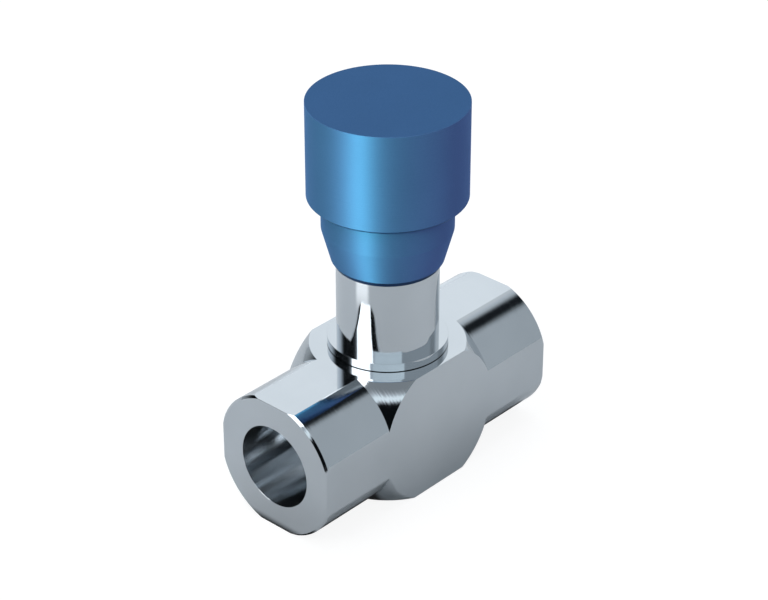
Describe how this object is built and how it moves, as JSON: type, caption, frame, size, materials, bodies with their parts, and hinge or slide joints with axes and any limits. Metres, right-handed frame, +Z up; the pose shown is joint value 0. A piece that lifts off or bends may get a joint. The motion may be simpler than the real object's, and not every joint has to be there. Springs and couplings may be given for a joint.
{
  "type": "needle valve",
  "caption": "In-line bi-directional needle valve: square steel body with a turned ball middle and round ports, upright sleeve, rising needle and cylindrical knob with a coned skirt.",
  "frame": {"origin": "middle of the body's flat underside", "axes": "+X along the port axis, +Z up along the spindle, the valve standing on its underside"},
  "size_m": [0.0702, 0.034, 0.0869],
  "materials": {
    "plated_steel": "bright plated steel, mirror smooth",
    "hardened_steel": "hardened and ground steel",
    "black_rubber": "black nitrile rubber",
    "white_ptfe": "white PTFE",
    "spring_steel": "oiled spring steel",
    "bronze_filled_ptfe": "bronze-filled PTFE",
    "blue_aluminium": "blue anodised aluminium, satin turned finish",
    "black_oxide_steel": "black oxide steel",
    "brass": "turned brass"
  },
  "bodies": {
    "valve": {"valve_body": "plated_steel", "seat_insert": "hardened_steel", "seat_o_ring": "black_rubber", "seat_backup_ring": "white_ptfe", "bonnet": "plated_steel", "bonnet_o_ring": "black_rubber", "stem_wiper": "black_rubber", "wiper_washer": "hardened_steel", "wiper_circlip": "spring_steel"},
    "needle": {"needle": "hardened_steel", "needle_guide_ring": "bronze_filled_ptfe", "needle_lower_backup_ring": "white_ptfe", "needle_o_ring": "black_rubber", "needle_upper_backup_ring": "white_ptfe", "thrust_ball": "hardened_steel", "coupling_snap_ring": "spring_steel"},
    "knob": {"spindle": "hardened_steel", "knob": "blue_aluminium", "knob_o_ring": "black_rubber", "knob_set_screws": "black_oxide_steel"},
    "lock_pad": {"lock_pad": "brass"},
    "lock_screw": {"lock_screw": "black_oxide_steel"}
  },
  "joints": [
    {"name": "needle_lift", "type": "slide", "parent": "valve", "child": "needle", "axis": [0, 0, 1], "range_m": [0, 0.005]},
    {"name": "knob_turn", "type": "hinge", "parent": "needle", "child": "knob", "pos_m": [0, 0, 0.07], "axis": [0, 0, 1], "range_deg": [0, 1800]},
    {"name": "lock_pad_press", "type": "slide", "parent": "knob", "child": "lock_pad", "axis": [-0.7431, -0.6691, 0], "range_m": [0, 0.00035]},
    {"name": "lock_screw_turn", "type": "hinge", "parent": "lock_pad", "child": "lock_screw", "pos_m": [0.0104, 0.00937, 0.0684], "axis": [-0.7431, -0.6691, 0], "range_deg": [0, 180]}
  ],
  "couplings": [
    {"joint": "knob_turn", "follows": "needle_lift", "rad_per_m": 6283.2},
    {"joint": "lock_screw_turn", "follows": "lock_pad_press", "rad_per_m": 8975.9}
  ]
}
